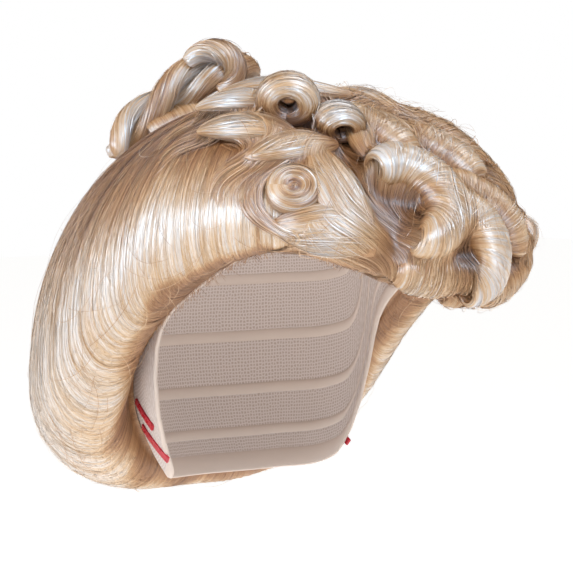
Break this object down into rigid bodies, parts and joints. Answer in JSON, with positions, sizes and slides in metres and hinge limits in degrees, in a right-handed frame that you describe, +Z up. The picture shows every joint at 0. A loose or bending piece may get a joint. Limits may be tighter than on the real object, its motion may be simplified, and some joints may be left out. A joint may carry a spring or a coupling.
{
  "type": "pompadour costume wig",
  "caption": "Blonde costume wig with a curled pompadour front, smooth swept sides and rolled-under nape, a hair twist on the crown and an open net cap.",
  "frame": {"origin": "top of the wearer's head inside the cap's crown", "axes": "+Z up, the wig faces -Y, and the wearer's right is -X"},
  "size_m": [0.2276, 0.2897, 0.2437],
  "materials": {
    "hair_fibre": "glossy pale golden synthetic hair",
    "net": "pale lilac grey net",
    "satin_band": "glossy red satin"
  },
  "bodies": {
    "root": {"cap": "net", "ear_band_upper_right": "satin_band", "ear_band_upper_left": "satin_band", "ear_band_lower_right": "satin_band", "ear_band_lower_left": "satin_band", "swept_hair": "hair_fibre", "front_pompadour": "hair_fibre", "twist_strand_a": "hair_fibre", "twist_strand_b": "hair_fibre", "crown_loop": "hair_fibre", "ring_curl_right": "hair_fibre", "oval_curl": "hair_fibre", "c_roll_right": "hair_fibre", "c_roll_front": "hair_fibre", "pin_curl_right": "hair_fibre", "wave_ribbon_right": "hair_fibre", "leaf_lock_lower": "hair_fibre", "leaf_lock_middle": "hair_fibre", "leaf_lock_upper": "hair_fibre", "oval_tail": "hair_fibre", "front_wave_left": "hair_fibre", "tip_roll": "hair_fibre", "ridge_roll": "hair_fibre", "inner_roll": "hair_fibre", "ruffle_roll": "hair_fibre", "brow_roll_right": "hair_fibre", "brow_roll_middle": "hair_fibre", "brow_roll_left": "hair_fibre", "crown_wave": "hair_fibre", "c_roll_left": "hair_fibre", "pin_curl_left": "hair_fibre", "wave_ribbon_left": "hair_fibre", "leaf_lock_left": "hair_fibre", "ring_curl_left": "hair_fibre", "brow_roll_side": "hair_fibre", "top_roll_left": "hair_fibre", "front_roll_left": "hair_fibre", "brow_wave_left": "hair_fibre", "middle_wave": "hair_fibre", "top_wave": "hair_fibre", "crown_roll": "hair_fibre"}
  },
  "joints": []
}
